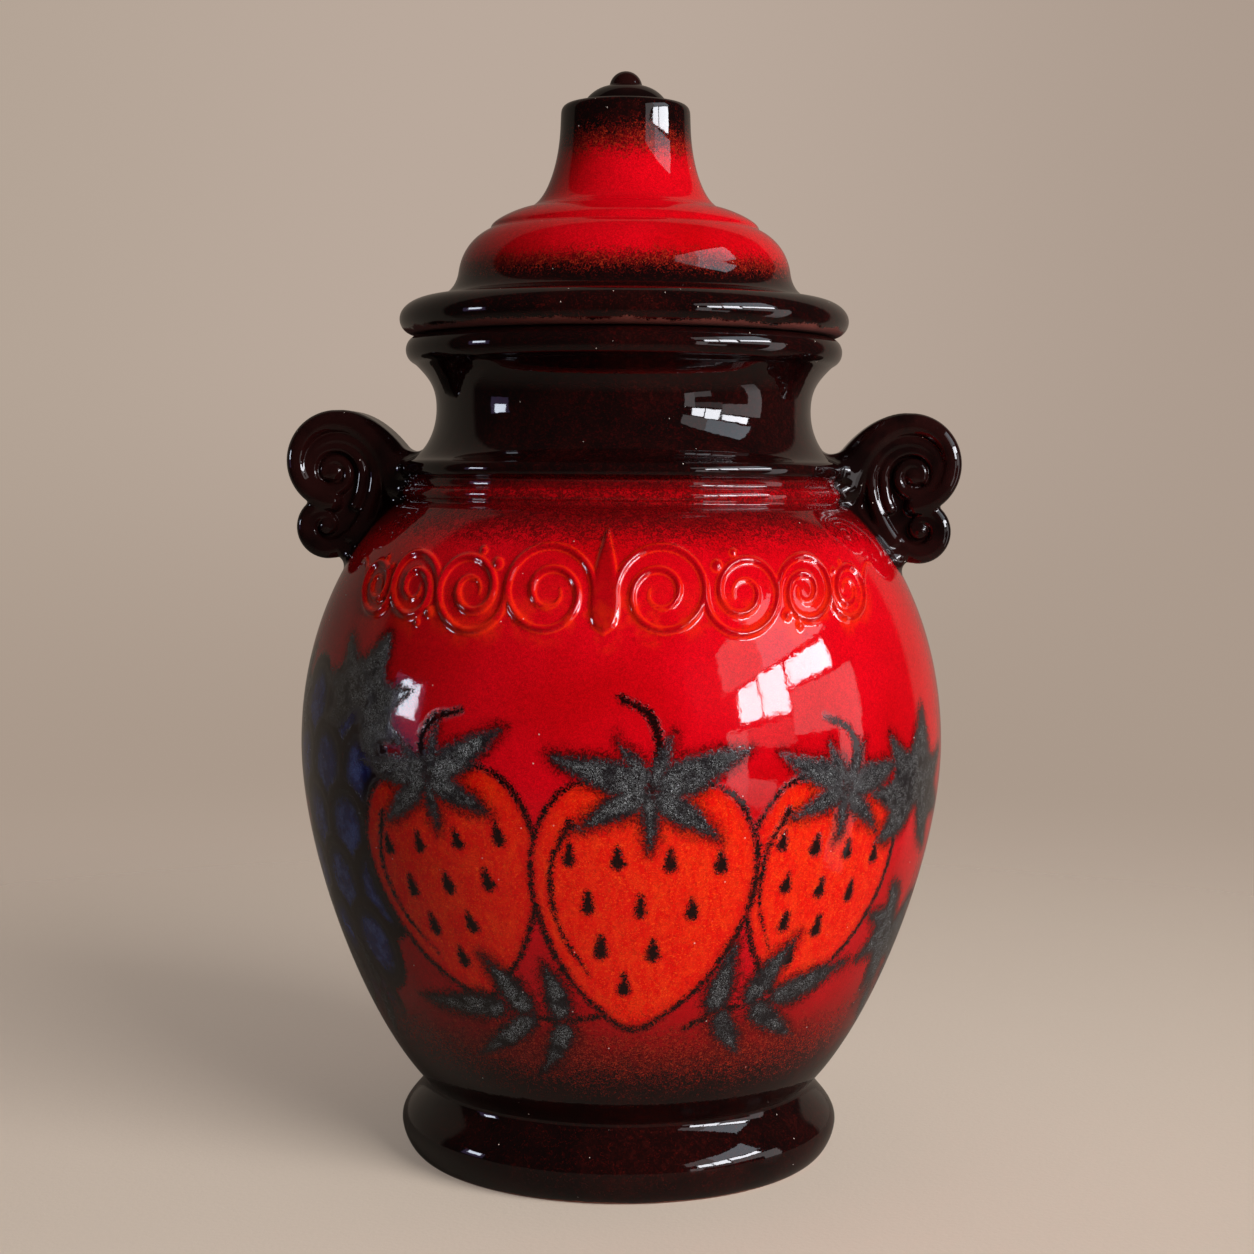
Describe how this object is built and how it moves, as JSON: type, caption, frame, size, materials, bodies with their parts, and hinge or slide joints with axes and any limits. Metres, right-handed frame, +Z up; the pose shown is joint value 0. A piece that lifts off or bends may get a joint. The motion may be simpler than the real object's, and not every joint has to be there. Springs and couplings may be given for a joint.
{
  "type": "lidded crock",
  "caption": "Bulbous glazed stoneware crock with a bead foot, ringed collar, scroll ears and a stepped bell-shaped lid that lifts off.",
  "frame": {"origin": "middle of the foot on the floor, on the pot's axis", "axes": "+Z up along the axis of turning, +X towards the right-hand ear, +Y away from the viewer"},
  "size_m": [0.2174, 0.208, 0.35],
  "materials": {
    "pot_glaze": "glossy",
    "ear_glaze": "glossy",
    "lid_glaze": "glossy",
    "bare_clay": "matte",
    "knob_glaze": "glossy"
  },
  "bodies": {
    "pot": {"pot_body": "pot_glaze", "left_handle": "ear_glaze", "right_handle": "ear_glaze"},
    "lid": {"lid": "lid_glaze", "lid_locating_ring": "bare_clay", "lid_knob": "knob_glaze"}
  },
  "joints": [
    {"name": "lid_lift", "type": "slide", "parent": "pot", "child": "lid", "axis": [0, 0, 1], "range_m": [0, 0.1]}
  ]
}
